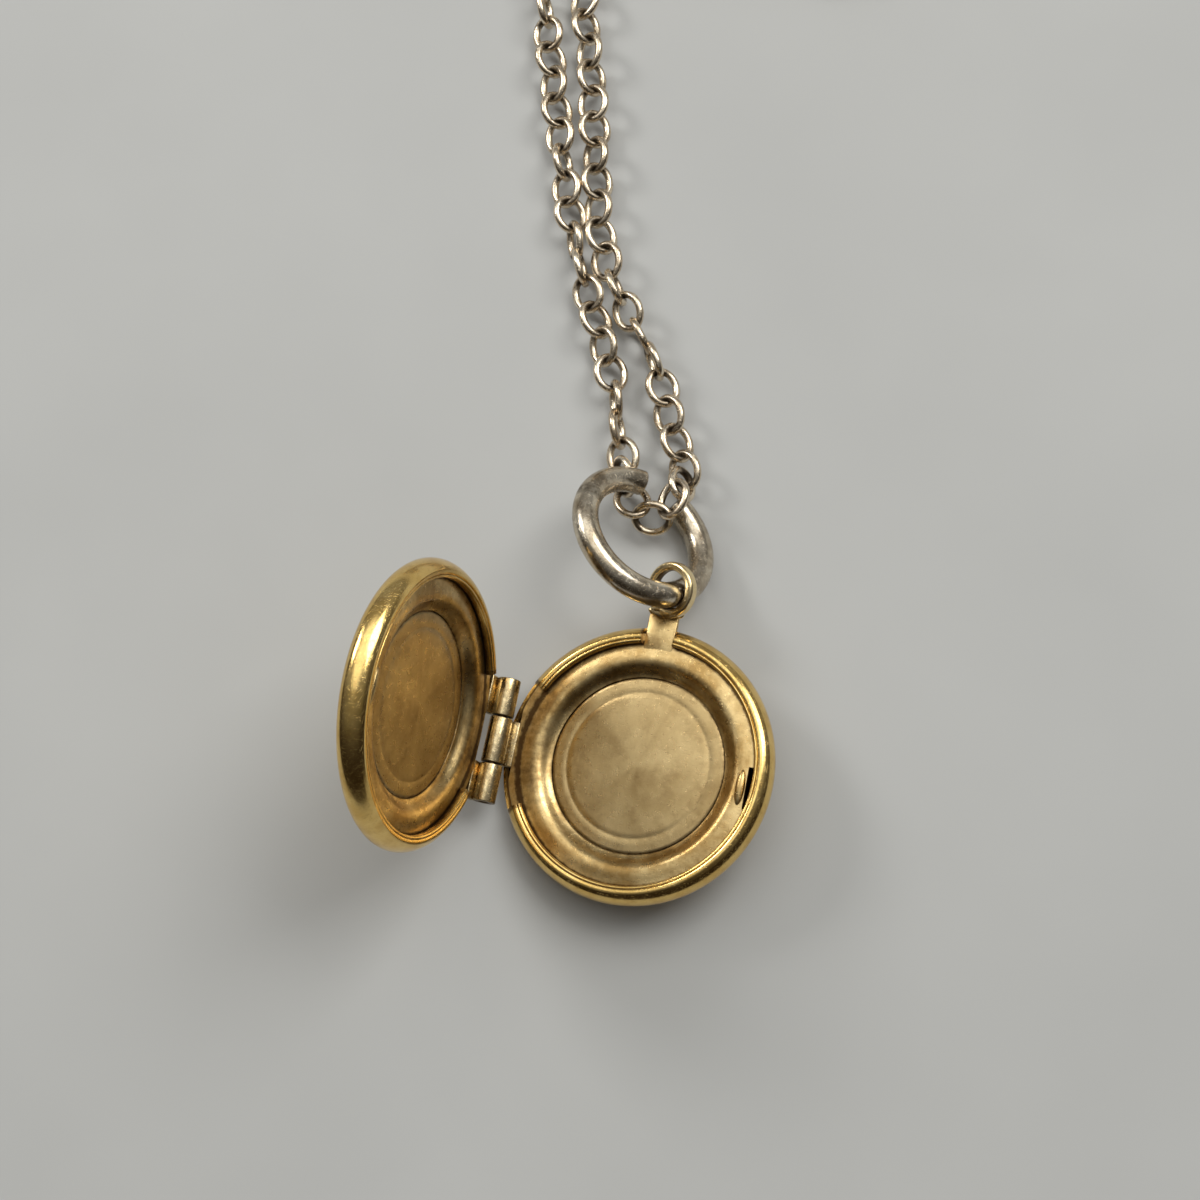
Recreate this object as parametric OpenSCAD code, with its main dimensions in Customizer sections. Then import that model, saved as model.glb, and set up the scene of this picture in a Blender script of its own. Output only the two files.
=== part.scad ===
// Open round locket, 18 mm, on a doubled trace chain. Millimetres.
// The origin is the centre of the picture seat in the back half. +Z is up from the surface
// that the locket lies on, +Y runs along the hinge towards the chain, +X towards the catch.

/* [Halves] */
// Outside diameter of each half
case_d = 18; // [17:0.25:19]
// Depth of each half, from the top of its lip to the crown of its dome
half_depth = 3.4; // [3.2:0.1:3.8]
// Width of the folded lip, from its inner wall to the case's widest line
lip_w = 1.15; // [1:0.05:1.2]
// Radius that the case's side curves in to the lip with
lip_round = 1.2; // [1.2:0.05:1.4]
// Radius of the edge between the dome and the side
edge_round = 0.8; // [0.7:0.05:0.9]
// Height of the lip above the inner plate
lip_h = 0.55; // [0.4:0.05:0.7]
// Thickness of the rolled sheet
sheet_t = 0.35; // [0.25:0.05:0.4]
// Lean of the back half towards its hinge, as its dome rocks on the surface
rock = 12; // [8:1:16]
// Angle between the two halves, 0 when shut
lid_open = 93; // [80:1:120]

/* [Picture recess] */
// Diameter of the picture disc
seat_d = 11.4; // [10.8:0.1:11.8]
// Diameter of the mouth of the recess
mouth_d = 12.8; // [12.4:0.1:13.4]
// Depth of the recess below the inner plate
seat_depth = 0.6; // [0.4:0.05:0.8]
// Thickness of the picture disc
disc_t = 0.18; // [0.12:0.02:0.24]

/* [Hinge] */
// Outside diameter of the three tubes
tube_d = 1.5; // [1.3:0.05:1.6]
// Bore of the tubes
tube_bore = 0.7; // [0.6:0.02:0.8]
// Diameter of the hinge pin
pin_d = 0.64; // [0.56:0.02:0.66]
// Length of the middle tube
mid_len = 3; // [2.4:0.1:3.4]
// Length of each end tube
end_len = 2.5; // [2:0.1:3]
// Gap between two tubes
tube_gap = 0.1; // [0.05:0.01:0.15]

/* [Bail and jump ring] */
// Width of the tab that carries the bail
tab_w = 2.1; // [1.8:0.1:2.4]
// Radius of the bail, to the middle of its wire
bail_r = 1.5; // [1.5:0.05:1.6]
// Thickness of the bail's wire
bail_wire = 0.56; // [0.5:0.02:0.6]
// Radius of the jump ring, to the middle of its wire
ring_r = 4.45; // [4:0.05:4.8]
// Thickness of the jump ring's wire
ring_wire = 1.7; // [1.5:0.05:1.8]
// Opening between the jump ring's cut ends, in degrees
ring_gap = 34; // [10:1:40]

/* [Chain] */
// Diameter of the space that the chain takes up
chain_d = 2.4; // [2:0.1:2.6]
// Radius of the stored coil's outer turns
coil_r = 13.2; // [12.8:0.1:13.6]
// Radius of the clasp ring, to the middle of its tube
clasp_r = 2.2; // [2:0.1:2.6]
// Thickness of the clasp ring's tube
clasp_tube = 1.5; // [1.3:0.1:1.6]
// Thickness of the clasp's sliding bolt
bolt_d = 0.6; // [0.5:0.05:0.7]

/* [Hidden] */
$fn = 96;

gold = [0.86, 0.68, 0.32];
satin_gold = [0.70, 0.58, 0.36];
dull_gold = [0.62, 0.50, 0.30];
silver = [0.70, 0.67, 0.62];

// Heights in a half's own frame, measured from the top of its picture disc
case_r = case_d / 2;
plate_z = seat_depth;
lip_z = plate_z + lip_h;
crown_z = lip_z - half_depth;
edge_z = lip_z - 1.05;
edge_r = case_r - edge_round;
edge_drop = edge_z - crown_z;
// The dome meets the rounded edge without a step, which sets its radius
dome_r = (pow(edge_r, 2) + pow(edge_drop, 2) - pow(edge_round, 2)) / (2 * (edge_drop - edge_round));
dome_z = crown_z + dome_r;
dome_edge_r = edge_r * dome_r / (dome_r - edge_round);
seat_r = seat_d / 2;
mouth_r = mouth_d / 2;
plate_r = case_r - 0.42;

// Hinge, whose axis lies level with the outer rim, just above the lips
hinge_x = case_r + 0.32;
hinge_z = lip_z + 0.1;
pin_len = mid_len + 2 * end_len + 2 * tube_gap - 0.3;
end_y = (mid_len + end_len) / 2 + tube_gap;
lip_cut_y = 4.3;
leaf_t = sheet_t;

// Surface that the back half's dome rests on
rest_z = dome_z * cos(rock) - dome_r;

// Jump ring: its middle, the tilt of its plane and the bearing of that tilt
ring_at = [-2.4, 14.7, 1.12];
ring_tilt = 42;
ring_bearing = 40;
bail_at = ring_at + ring_r * [sin(ring_bearing), -cos(ring_bearing), 0];
bail_shift = [-0.36, 0.14, 0.08];
bail_tilt = 35;
bail_bearing = 205;

// Chain routes, on the surface
left_route = [
    [-5.2, 20.6, -1.5], [-6, 22.6, -1.5], [-6.6, 24.9, -1.5], [-7.6, 27.2, -1.5], [-9, 30, -1.5],
    [-10.2, 32.4, -1.5], [-11.4, 35, -1.5], [-13, 39.3, -1.5], [-14.4, 43.5, -1.5],
    [-15.7, 47.5, -1.5], [-17, 51.6, -1.5], [-18, 54.6, -1.5], [-19.5, 58.3, -1.5],
    [-21.1, 62.3, -1.5], [-22.7, 66.3, -1.5], [-24.3, 70.2, -1.5]
];
right_route = [
    [-0.9, 20.4, -1.5], [-1.7, 22, -1.5], [-2.6, 23.8, -1.5], [-3.4, 25.7, -1.5], [-4.4, 27.6, -1.5],
    [-5.7, 29.4, -1.5], [-7.1, 31.2, -1.5], [-8.6, 33.4, -1.5], [-10, 36.5, -1.5],
    [-11.2, 41, -1.5], [-12.2, 45, -1.5], [-13.4, 49.5, -1.5], [-14.5, 53, -1.5],
    [-14.7, 55.2, -1.5], [-14, 57, -1.5], [-12.5, 58.4, -1.5], [-10.1, 59, -1.5],
    [-7.4, 59.3, -1.5], [-4.6, 59.9, -1.5], [-1.6, 60.7, -1.5]
];
bight_route = [
    [-5.2, 20.6, -1.8], [-4.7, 19.4, -2.1], [-4.2, 18.3, -2], [-3.3, 17.1, -1.5], [-2.3, 16.4, -0.9],
    [-1.5, 16.8, -0.3], [-1.2, 18, 0.1], [-0.9, 19.3, -0.5], [-0.9, 20.5, -1.5]
];
tail_route = [
    [0, 80.5, 0.7], [0.75, 78.4, 0.7], [1.4, 76, 0.7], [2.1, 73.6, 0.5], [3, 71.3, -0.4],
    [4.2, 69.1, -1.3], [5.7, 67.1, -1.5], [7.2, 65.3, -1.5], [7.9, 63.8, -1.5]
];
bight_d = 1.2;
coil_at = [-12, 75, 0];
coil_layers = 2;
coil_rows = 2;

// Clasp on the chain's tail, hooked through the ring on its other end
clasp_at = [3, 61.6, rest_z + 1.2];
clasp_mouth = 190;
clasp_gap = 70;
bolt_reach = 40;
bolt_back = 30;
eye_r = 0.8;
eye_wire = 0.5;
end_ring_r = 1.3;
end_ring_wire = 0.6;

// ---- shapes that repeat ----

// Wire bent round a circle, from one angle through a sweep
module wire_ring(r, wire, from = 0, sweep = 360) {
    rotate([0, 0, from])
        rotate_extrude(angle = sweep)
            translate([r, 0])
                circle(d = wire);
}

// Places a half: the back half leans about the seat, the lid is turned about the hinge
module in_back() {
    rotate([0, -rock, 0])
        children();
}

module in_lid() {
    in_back()
        translate([-hinge_x, 0, hinge_z])
            rotate([0, -lid_open, 0])
                translate([hinge_x, 0, hinge_z])
                    mirror([0, 0, 1])
                        children();
}

// Section of the metal of a shell, filled
module shell_outside() {
    intersection() {
        translate([0, dome_z]) circle(r = dome_r, $fn = 360);
        translate([0, crown_z]) square([dome_edge_r, edge_drop]);
    }
    intersection() {
        translate([edge_r, edge_z]) circle(r = edge_round);
        translate([edge_r, edge_z - edge_round]) square(edge_round);
    }
    intersection() {
        translate([case_r - lip_round, edge_z]) circle(r = lip_round);
        translate([case_r - lip_w, edge_z]) square([lip_w, lip_z - edge_z]);
    }
    translate([0, edge_z]) square([case_r - lip_w, lip_z - edge_z]);
}

// Section of the hollow of a shell, open above the inner plate
module shell_inside() {
    wall_r = edge_round - sheet_t;
    intersection() {
        translate([0, dome_z]) circle(r = dome_r - sheet_t, $fn = 360);
        translate([0, crown_z]) square([dome_edge_r, edge_drop]);
    }
    intersection() {
        translate([edge_r, edge_z]) circle(r = wall_r);
        translate([edge_r, edge_z - wall_r]) square(wall_r);
    }
    translate([0, edge_z]) square([plate_r + 0.02, plate_z - edge_z]);
    translate([0, plate_z]) square([case_r - lip_w, lip_z]);
}

// Domed cup with its edge folded over as a lip, open at the hinge
module half_shell() {
    difference() {
        rotate_extrude()
            difference() {
                shell_outside();
                shell_inside();
            }
        translate([-case_r - 1, -lip_cut_y, plate_z - leaf_t - 0.02])
            cube([case_r / 2, 2 * lip_cut_y, half_depth]);
    }
}

// Inner plate: a pressed ring with a sloping recess, a ledge for the disc and a raised edge
module half_plate() {
    ledge_r = seat_r - 0.5;
    foot_r = seat_r + 0.08;
    bead_r = 0.13;
    difference() {
        rotate_extrude() {
            polygon([
                [plate_r, plate_z - sheet_t], [plate_r, plate_z], [mouth_r, plate_z],
                [foot_r, -disc_t], [ledge_r, -disc_t], [ledge_r, -disc_t - sheet_t],
                [foot_r + 0.3, -disc_t - sheet_t], [mouth_r + 0.3, plate_z - sheet_t]
            ]);
            translate([mouth_r + bead_r, plate_z]) circle(r = bead_r, $fn = 32);
        }
        catch_slot();
    }
    catch_bead();
}

// Slot just inside the lip, which the other half's edge snaps into
module catch_slot() {
    slot_x = case_r - lip_w - 0.23;
    slot_w = 0.42;
    slot_len = 2.7;
    translate([slot_x - slot_w / 2, -0.5 - slot_len / 2, plate_z - 1])
        cube([slot_w, slot_len, 2]);
}

// Bead raised from the plate beside the slot
module catch_bead() {
    bead_d = 0.6;
    bead_len = 1.6;
    bead_x = case_r - lip_w - 0.77;
    translate([bead_x, -0.5, plate_z]) {
        rotate([90, 0, 0]) cylinder(d = bead_d, h = bead_len, center = true, $fn = 32);
        for (end = [-1, 1]) translate([0, end * bead_len / 2, 0]) sphere(d = bead_d, $fn = 32);
    }
}

module photo_disc() {
    translate([0, 0, -disc_t]) cylinder(r = seat_r, h = disc_t);
}

// Hinge tube and the leaf that joins it to a plate, in a half's frame
module knuckle(y, len) {
    leaf_in = 1.1;
    leaf_z = plate_z - leaf_t;
    difference() {
        union() {
            translate([-hinge_x, y, hinge_z])
                rotate([90, 0, 0]) cylinder(d = tube_d, h = len, center = true, $fn = 64);
            translate([-hinge_x, y - len / 2, leaf_z]) cube([leaf_in, len, leaf_t]);
        }
        translate([-hinge_x, y, hinge_z])
            rotate([90, 0, 0]) cylinder(d = tube_bore, h = len + 1, center = true, $fn = 64);
    }
}

// Clears a plate round the hinge tubes and leaves that belong to a stretch of the hinge
module hinge_clearance(y, len) {
    translate([-hinge_x - 1, y - len / 2, plate_z - 2]) cube([2.1, len, 4]);
}

// Tube swept along a route with one ring of eight corners at each point
function unit(v) = v / norm(v);
function heading(route, i) =
    unit(route[min(i + 1, len(route) - 1)] - route[max(i - 1, 0)]);
function tube_ring(route, i, d) =
    let (ahead = heading(route, i), side = unit(cross(ahead, [0, 0, 1])), up = cross(side, ahead))
    [for (k = [0:7]) route[i] + d / 2 * (cos(45 * k + 22.5) * side + sin(45 * k + 22.5) * up)];

module swept_tube(route, d) {
    last = len(route) - 1;
    points = [for (i = [0:last]) each tube_ring(route, i, d)];
    walls = [for (i = [0:last - 1], k = [0:7], half = [0, 1])
        let (a = 8 * i + k, b = 8 * i + (k + 1) % 8)
        half == 0 ? [a, b, b + 8] : [a, b + 8, a + 8]];
    caps = [[for (k = [7:-1:0]) k], [for (k = [0:7]) 8 * last + k]];
    polyhedron(points = points, faces = concat(walls, caps));
}

// ---- back half ----

module back_shell() {
    color(gold)
        in_back()
            difference() {
                half_shell();
                translate([-tab_w / 2 - 0.1, edge_r - 1, plate_z - sheet_t - 0.02])
                    cube([tab_w + 0.2, 3, half_depth]);
            }
}

module back_plate() {
    tab_end = 10.25;
    color(satin_gold)
        in_back() {
            difference() {
                half_plate();
                for (side = [-1, 1]) hinge_clearance(side * (end_y + 1), end_len + 2.2);
                hinge_clearance(0, mid_len + 0.04);
            }
            translate([-tab_w / 2, mouth_r + 1, plate_z - sheet_t])
                cube([tab_w, tab_end - mouth_r - 1, sheet_t]);
        }
}

module back_photo_disc() {
    color(dull_gold) in_back() photo_disc();
}

// Hoop round the jump ring's wire, let into the end of the tab
module bail_loop() {
    color(gold)
        translate(bail_at + bail_shift)
            rotate([0, bail_tilt, bail_bearing]) wire_ring(bail_r, bail_wire);
}

module back_knuckle() {
    color(gold) in_back() knuckle(0, mid_len);
}

module hinge_pin() {
    color(gold)
        in_back()
            translate([-hinge_x, 0, hinge_z])
                rotate([90, 0, 0]) cylinder(d = pin_d, h = pin_len, center = true, $fn = 64);
}

// ---- lid ----

module lid_shell() {
    color(gold) in_lid() half_shell();
}

module lid_plate() {
    color(satin_gold)
        in_lid()
            difference() {
                half_plate();
                hinge_clearance(0, 2 * lip_cut_y);
            }
}

module lid_photo_disc() {
    color(dull_gold) in_lid() photo_disc();
}

module lid_knuckle_upper() {
    color(gold) in_lid() knuckle(end_y, end_len);
}

module lid_knuckle_lower() {
    color(gold) in_lid() knuckle(-end_y, end_len);
}

// ---- jump ring and chain ----

module jump_ring() {
    gap_from = 23;
    color(silver)
        translate(ring_at)
            rotate([0, ring_tilt, ring_bearing])
                wire_ring(ring_r, ring_wire, gap_from + ring_gap, 360 - ring_gap);
}

module chain_bight() {
    color(silver) swept_tube(bight_route, bight_d);
}

module chain_left() {
    color(silver) swept_tube(left_route, chain_d);
}

module chain_right() {
    color(silver) swept_tube(right_route, chain_d);
}

// Outer shape of the stored turns, two side by side and two deep
module chain_coil() {
    width = coil_rows * chain_d + 0.2;
    color(silver)
        translate(coil_at + [0, 0, rest_z])
            rotate_extrude()
                translate([coil_r + chain_d / 2 - width, 0])
                    square([width, coil_layers * chain_d + 0.1]);
}

module chain_tail() {
    color(silver) swept_tube(tail_route, chain_d);
}

// ---- clasp ----

// Hollow ring open at its mouth, slotted for the bolt's knob, with a soldered eye
module clasp_body() {
    body_sweep = 360 - clasp_gap;
    body_from = clasp_mouth + clasp_gap / 2;
    color(silver)
        translate(clasp_at) {
            difference() {
                wire_ring(clasp_r, clasp_tube, body_from, body_sweep);
                wire_ring(clasp_r, bolt_d + 0.1, body_from - 1, body_sweep + 2);
                rotate([0, 0, clasp_mouth - clasp_gap / 2 - bolt_back - 18])
                    rotate_extrude(angle = bolt_back + 12)
                        translate([clasp_r - 0.2, 0]) square([0.4, clasp_tube]);
            }
            rotate([0, 0, clasp_mouth - 180])
                translate([clasp_r + clasp_tube / 2 + eye_r - 0.1, 0, 0]) wire_ring(eye_r, eye_wire);
        }
}

// Curved bolt across the mouth, with the knob that draws it back
module clasp_bolt() {
    bolt_from = clasp_mouth - clasp_gap / 2 - bolt_reach;
    knob_at = clasp_mouth - clasp_gap / 2 - 10;
    knob_d = 0.34;
    knob_h = 1.25;
    color(silver)
        translate(clasp_at) {
            wire_ring(clasp_r, bolt_d, bolt_from, bolt_reach + clasp_gap + 8);
            rotate([0, 0, knob_at])
                translate([clasp_r, 0, 0]) cylinder(d = knob_d, h = knob_h, $fn = 32);
        }
}

// Spring behind the bolt, drawn at the length it has when the bolt is right back
module clasp_spring() {
    spring_from = clasp_mouth + clasp_gap / 2 + 12;
    spring_sweep = 360 - clasp_gap - bolt_reach - bolt_back - 12 - 4;
    color(silver)
        translate(clasp_at) wire_ring(clasp_r, bolt_d, spring_from, spring_sweep);
}

// Small closed link through the clasp's eye
module clasp_link() {
    color(silver)
        translate(clasp_at)
            rotate([0, 0, clasp_mouth - 180])
                translate([clasp_r + clasp_tube / 2 + 2 * eye_r + 0.2, 0, 0])
                    rotate([90, 0, 0]) wire_ring(0.85, eye_wire);
}

// Ring on the chain's other end, hooked over the bolt
module end_ring() {
    color(silver)
        translate(clasp_at)
            rotate([0, 0, clasp_mouth])
                translate([clasp_r + 0.4, 0, 0.4])
                    rotate([90, 0, 0]) wire_ring(end_ring_r, end_ring_wire);
}

back_shell();
back_plate();
back_photo_disc();
bail_loop();
back_knuckle();
hinge_pin();
lid_shell();
lid_plate();
lid_photo_disc();
lid_knuckle_upper();
lid_knuckle_lower();
jump_ring();
chain_bight();
chain_left();
chain_right();
chain_coil();
chain_tail();
clasp_body();
clasp_bolt();
clasp_spring();
clasp_link();
end_ring();
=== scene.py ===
"""Open round locket on a doubled trace chain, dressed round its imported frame."""
import logging
import math
import random
from collections.abc import Callable
from dataclasses import dataclass
from enum import Enum

import bmesh
import bpy
from mathutils import Matrix, Vector
from mathutils.geometry import interpolate_bezier


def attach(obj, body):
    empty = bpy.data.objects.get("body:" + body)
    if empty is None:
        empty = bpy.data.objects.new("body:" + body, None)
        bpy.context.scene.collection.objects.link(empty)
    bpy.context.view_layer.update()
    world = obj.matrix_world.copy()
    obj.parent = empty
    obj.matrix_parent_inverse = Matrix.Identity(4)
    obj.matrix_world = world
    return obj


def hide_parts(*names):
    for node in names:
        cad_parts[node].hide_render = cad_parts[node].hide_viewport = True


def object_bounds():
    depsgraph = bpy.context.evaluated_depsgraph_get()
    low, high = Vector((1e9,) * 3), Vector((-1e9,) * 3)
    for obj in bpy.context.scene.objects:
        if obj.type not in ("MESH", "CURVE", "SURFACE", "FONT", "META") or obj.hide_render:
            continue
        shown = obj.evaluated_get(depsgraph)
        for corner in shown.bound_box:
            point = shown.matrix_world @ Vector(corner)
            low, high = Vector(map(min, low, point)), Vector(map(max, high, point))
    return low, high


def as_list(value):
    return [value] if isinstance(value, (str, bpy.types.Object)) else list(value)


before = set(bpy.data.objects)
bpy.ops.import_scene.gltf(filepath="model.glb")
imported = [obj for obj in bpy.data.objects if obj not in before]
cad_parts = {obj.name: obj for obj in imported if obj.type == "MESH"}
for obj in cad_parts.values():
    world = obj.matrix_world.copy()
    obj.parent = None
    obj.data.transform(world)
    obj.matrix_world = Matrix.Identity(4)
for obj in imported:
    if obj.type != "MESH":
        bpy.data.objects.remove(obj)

CAD_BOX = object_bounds()
LOG = logging.getLogger("locket")
MM = 0.001
FLOOR_Z = CAD_BOX[0].z / MM
Colour = tuple[float, float, float]
Profile = list[tuple[float, float]]


class Slot(Enum):
    """The record's material slots."""

    POLISHED_GOLD = "polished_gold"
    SATIN_GOLD = "satin_gold"
    STAINED_GOLD = "stained_gold"
    SILVER = "tarnished_silver"


class Body(Enum):
    """The rigid bodies that pieces ride on."""

    BACK = "back"
    LID = "lid"
    RING = "ring"
    CHAIN = "chain"


# ---------------------------------------------------------------- finishes


class Graph:
    """The node tree of a material or a world, with short calls to add and join nodes."""

    def __init__(self, owner: bpy.types.Material | bpy.types.World, shader: str) -> None:
        """Starts on the owner's tree, at its shader of the given name."""
        owner.use_nodes = True
        self.owner = owner
        self.tree = owner.node_tree
        self.shader = self.tree.nodes[shader]

    def add(self, kind: str, inputs: dict | None = None, **settings: object) -> bpy.types.Node:
        """Adds a node.

        Args:
            kind: The node's type name.
            inputs: Values or sockets for the node's inputs, by name or number.
            settings: Properties set on the node itself.

        Returns:
            The new node.
        """
        node = self.tree.nodes.new(kind)
        for key, value in settings.items():
            setattr(node, key, value)
        for key, value in (inputs or {}).items():
            self.feed(node, key, value)
        return node

    def feed(self, node: bpy.types.Node, key: str | int, value: object) -> None:
        """Joins a socket to a node's input, or sets the input's value."""
        if isinstance(value, bpy.types.NodeSocket):
            self.tree.links.new(value, node.inputs[key])
        else:
            node.inputs[key].default_value = value

    def noise(self, where: object, scale: float, detail: float = 4.0, rough: float = 0.55) -> object:
        """Adds a noise pattern and returns its factor socket."""
        node = self.add(
            "ShaderNodeTexNoise",
            {"Vector": where, "Scale": scale, "Detail": detail, "Roughness": rough},
        )
        return node.outputs["Fac"]

    def ramp(self, factor: object, low: float, high: float, start: float = 0.0, end: float = 1.0) -> object:
        """Maps a factor from one range to another, clamped, and returns the socket."""
        node = self.add(
            "ShaderNodeMapRange",
            {"Value": factor, "From Min": low, "From Max": high, "To Min": start, "To Max": end},
        )
        return node.outputs["Result"]

    def maths(self, operation: str, first: object, second: object = 0.0) -> object:
        """Adds a maths node and returns its value socket."""
        return self.add("ShaderNodeMath", {0: first, 1: second}, operation=operation).outputs[0]

    def blend(self, factor: object, first: object, second: object) -> object:
        """Mixes two colours and returns the colour socket."""
        node = self.add("ShaderNodeMix", data_type="RGBA")
        self.feed(node, 0, factor)
        for key, value in ((6, first), (7, second)):
            self.feed(node, key, (*value, 1.0) if isinstance(value, tuple) else value)
        return node.outputs[2]


@dataclass(frozen=True)
class Skin:
    """A finished material and the record's slot that it belongs to."""

    material: bpy.types.Material
    slot: Slot


@dataclass(frozen=True)
class MetalFinish:
    """A metal surface with mottling, fine scratches, pits and grime, and with painted shade in its corners.
    """

    name: str
    slot: Slot
    bright: Colour
    deep: Colour
    # The dark colour that both grime and painted shade pull the metal towards.
    grime_and_shade: Colour
    rough: tuple[float, float]
    mottle_scale: float = 0.5
    mottle: tuple[float, float] = (0.35, 0.7)
    # Range of the grime and painted shade over which the dark colour comes in.
    grime_and_shade_reach: tuple[float, float] = (0.25, 0.9)
    scratch: float = 0.03
    grain: float = 0.02
    pits: float = 0.0
    stains: float = 0.0
    stain: Colour = (0.2, 0.12, 0.05)

    def build(self) -> Skin:
        """Makes the material, which reads each piece's own coordinates in millimetres."""
        graph = Graph(bpy.data.materials.new(self.name), "Principled BSDF")
        own = graph.add("ShaderNodeAttribute", attribute_name="own").outputs["Vector"]
        # This attribute carries painted shade in hollows, grooves, crevices and gaps, along with real dirt
        # and marks.
        corner = graph.add("ShaderNodeAttribute", attribute_name="grime_and_shade").outputs["Fac"]
        mottle = graph.noise(own, self.mottle_scale, 6.0, 0.62)
        colour = graph.blend(graph.ramp(mottle, *self.mottle), self.bright, self.deep)
        cloud = graph.noise(own, 1.7, 5.0, 0.7)
        if self.stains:
            blot = graph.ramp(graph.noise(own, 0.62, 7.0, 0.75), 0.5, 0.66, 0.0, self.stains)
            colour = graph.blend(blot, colour, self.stain)
        # Painted shade and dirt from the attribute, with cloudy dirt all over.
        dirt_and_shade = graph.maths("ADD", corner, graph.ramp(cloud, 0.3, 0.75, -0.25, 0.25))
        dirt_and_shade = graph.ramp(dirt_and_shade, *self.grime_and_shade_reach, 0.0, 0.92)
        speck = graph.ramp(graph.noise(own, 5.5, 3.0, 0.8), 0.66, 0.74, 0.0, self.pits)
        worn = graph.maths("MULTIPLY", graph.ramp(graph.noise(own, 3.2, 3.0, 0.7), 0.49, 0.56), 0.9)
        worn = graph.maths("MULTIPLY", worn, graph.ramp(corner, 0.3, 0.65))
        dirt_and_shade = graph.maths("MAXIMUM", graph.maths("MAXIMUM", dirt_and_shade, speck), worn)
        # Darkens the colour towards the grime colour wherever there is painted shade or dirt.
        colour = graph.blend(dirt_and_shade, colour, self.grime_and_shade)
        rough = graph.ramp(graph.noise(own, 2.4, 5.0, 0.6), 0.3, 0.72, *self.rough)
        rough = graph.maths("ADD", rough, graph.maths("MULTIPLY", dirt_and_shade, 0.22))
        streak = graph.add("ShaderNodeMapping", {"Vector": own, "Scale": (9.0, 1.1, 5.0)})
        turned = graph.add(
            "ShaderNodeMapping", {"Vector": own, "Rotation": (0.3, 0.2, 0.9), "Scale": (1.2, 11.0, 6.0)}
        )
        scratch = graph.maths(
            "MAXIMUM",
            graph.ramp(graph.noise(streak.outputs[0], 1.6, 2.0, 0.5), 0.63, 0.68, 0.0, 1.0),
            graph.ramp(graph.noise(turned.outputs[0], 1.3, 2.0, 0.5), 0.64, 0.69, 0.0, 1.0),
        )
        height = graph.maths("MULTIPLY", scratch, -self.scratch)
        height = graph.maths("ADD", height, graph.maths("MULTIPLY", graph.noise(own, 11.0), self.grain))
        height = graph.maths("ADD", height, graph.maths("MULTIPLY", speck, -0.012))
        bump = graph.add(
            "ShaderNodeBump", {"Strength": 0.6, "Distance": MM, "Height": height}
        )
        graph.feed(graph.shader, "Base Color", colour)
        graph.feed(graph.shader, "Roughness", rough)
        graph.feed(graph.shader, "Normal", bump.outputs["Normal"])
        graph.feed(graph.shader, "Metallic", 1.0)
        return Skin(graph.owner, self.slot)


@dataclass(frozen=True)
class Finishes:
    """Every finish on the locket."""

    polished: Skin
    satin: Skin
    stained: Skin
    hinge: Skin
    ring: Skin
    chain: Skin

    @classmethod
    def make(cls) -> "Finishes":
        """Builds all the materials once."""
        return cls(
            polished=MetalFinish(
                "polished_gold", Slot.POLISHED_GOLD,
                (0.88, 0.63, 0.24), (0.68, 0.43, 0.12), (0.07, 0.028, 0.008),
                (0.12, 0.22), scratch=0.006, grain=0.004, grime_and_shade_reach=(0.25, 0.85), pits=0.4,
                stains=0.35, stain=(0.42, 0.23, 0.06),
            ).build(),
            satin=MetalFinish(
                "satin_gold", Slot.SATIN_GOLD,
                (0.72, 0.54, 0.26), (0.42, 0.27, 0.10), (0.05, 0.022, 0.007),
                (0.24, 0.36), mottle=(0.38, 0.62), scratch=0.006, grain=0.006, pits=0.6,
                grime_and_shade_reach=(0.22, 0.8), stains=0.5, stain=(0.24, 0.135, 0.045),
            ).build(),
            stained=MetalFinish(
                "stained_gold", Slot.STAINED_GOLD,
                (0.56, 0.42, 0.21), (0.36, 0.25, 0.11), (0.06, 0.03, 0.011),
                (0.24, 0.38), mottle_scale=0.26, mottle=(0.36, 0.66), scratch=0.005, grain=0.006,
                pits=0.6, stains=0.4, stain=(0.22, 0.135, 0.055),
            ).build(),
            hinge=MetalFinish(
                "hinge_gold", Slot.POLISHED_GOLD,
                (0.95, 0.80, 0.50), (0.80, 0.60, 0.30), (0.06, 0.026, 0.009),
                (0.14, 0.24), scratch=0.006, grain=0.005, grime_and_shade_reach=(0.2, 0.7), pits=0.3,
                stains=0.3, stain=(0.30, 0.17, 0.06),
            ).build(),
            ring=MetalFinish(
                "ring_silver", Slot.SILVER,
                (0.78, 0.70, 0.56), (0.46, 0.38, 0.27), (0.05, 0.033, 0.018),
                (0.17, 0.30), mottle_scale=0.5, mottle=(0.38, 0.64), scratch=0.008, grain=0.005,
                pits=0.8, stains=0.6, stain=(0.15, 0.10, 0.055),
            ).build(),
            chain=MetalFinish(
                "chain_silver", Slot.SILVER,
                (0.88, 0.77, 0.60), (0.62, 0.49, 0.34), (0.04, 0.026, 0.014),
                (0.17, 0.30), mottle_scale=0.6, scratch=0.01, grain=0.006, pits=0.6, stains=0.5,
                grime_and_shade_reach=(0.2, 0.85), stain=(0.17, 0.11, 0.055),
            ).build(),
        )


# ---------------------------------------------------------------- making pieces


def mesh_of(name: str, bm: bmesh.types.BMesh) -> bpy.types.Mesh:
    """Writes a mesh out under a name and frees its source."""
    mesh = bpy.data.meshes.new(name)
    bm.to_mesh(mesh)
    bm.free()
    return mesh


def placed(name: str, data: bpy.types.ID) -> bpy.types.Object:
    """Puts a mesh, light or camera into the scene as an object."""
    obj = bpy.data.objects.new(name, data)
    bpy.context.scene.collection.objects.link(obj)
    return obj


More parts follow.
